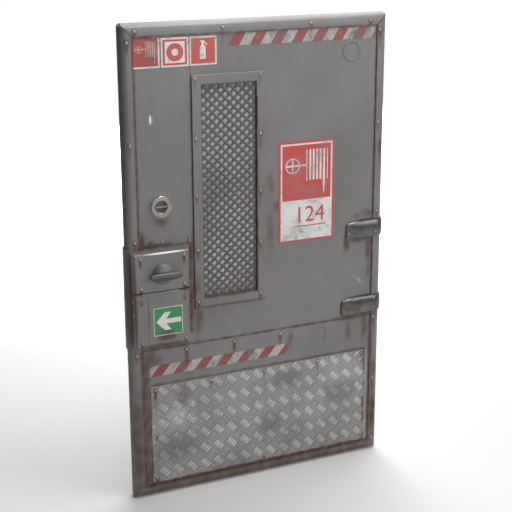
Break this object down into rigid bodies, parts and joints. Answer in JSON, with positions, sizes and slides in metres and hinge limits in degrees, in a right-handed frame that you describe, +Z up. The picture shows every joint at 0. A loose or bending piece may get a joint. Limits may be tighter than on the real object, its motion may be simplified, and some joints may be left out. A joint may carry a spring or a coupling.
{
  "type": "steel fire door leaf",
  "caption": "Grey painted steel fire door leaf with rolled edges, a wire-guarded vision panel, a surface lock with turn handle, a tread kick plate and wrap-round strap hinges.",
  "frame": {"origin": "on the jamb face of the lower hinge's plate, in the middle of its screw holes", "axes": "+X out of that face into the jamb, +Z up along the leaf, the push face looks to -Y"},
  "size_m": [1.277, 0.2654, 2.1],
  "materials": {
    "grey_paint": "matt grey paint, rusted along the seams",
    "mesh_steel": "dull wire",
    "pane": "clouded fire glass",
    "tread_plate": "worn tread plate",
    "dark_steel": "dark, worn",
    "bright_steel": "satin"
  },
  "bodies": {
    "leaf": {"left_rim": "grey_paint", "right_rim": "grey_paint", "top_rim": "grey_paint", "bottom_rim": "grey_paint", "front_sheet": "grey_paint", "lower_sheet": "grey_paint", "stile_sheet": "grey_paint", "back_sheet": "grey_paint", "vision_frame": "grey_paint", "vision_back_frame": "grey_paint", "vision_glass": "pane", "vision_mesh": "mesh_steel", "vision_liner": "grey_paint", "kick_plate": "tread_plate", "lock_cover": "grey_paint", "handle_cover": "grey_paint", "edge_guard": "grey_paint", "back_handle_plate": "grey_paint", "lock_rosette": "bright_steel", "back_rosette": "bright_steel", "blanking_cap": "grey_paint", "lower_strap": "dark_steel", "upper_strap": "dark_steel"},
    "handle": {"handle_boss": "dark_steel", "handle_grip": "dark_steel", "handle_spindle": "bright_steel", "back_handle_boss": "dark_steel", "back_handle_grip": "dark_steel"},
    "key_turn": {"lock_plug": "dark_steel"},
    "jamb": {"lower_jamb_plate": "dark_steel", "upper_jamb_plate": "dark_steel", "lower_pin": "bright_steel", "upper_pin": "bright_steel"}
  },
  "joints": [
    {"name": "leaf_swing", "type": "hinge", "parent": "jamb", "child": "leaf", "pos_m": [-0.0105, -0.047, 0], "axis": [0, 0, -1], "range_deg": [0, 90]},
    {"name": "handle_turn", "type": "hinge", "parent": "leaf", "child": "handle", "pos_m": [-1.13075, -0.131, 0.3], "axis": [0, 1, 0], "range_deg": [0, 90]},
    {"name": "key_turn", "type": "hinge", "parent": "leaf", "child": "key_turn", "pos_m": [-1.11275, -0.131, 0.579], "axis": [0, 1, 0], "range_deg": [0, 90]}
  ]
}
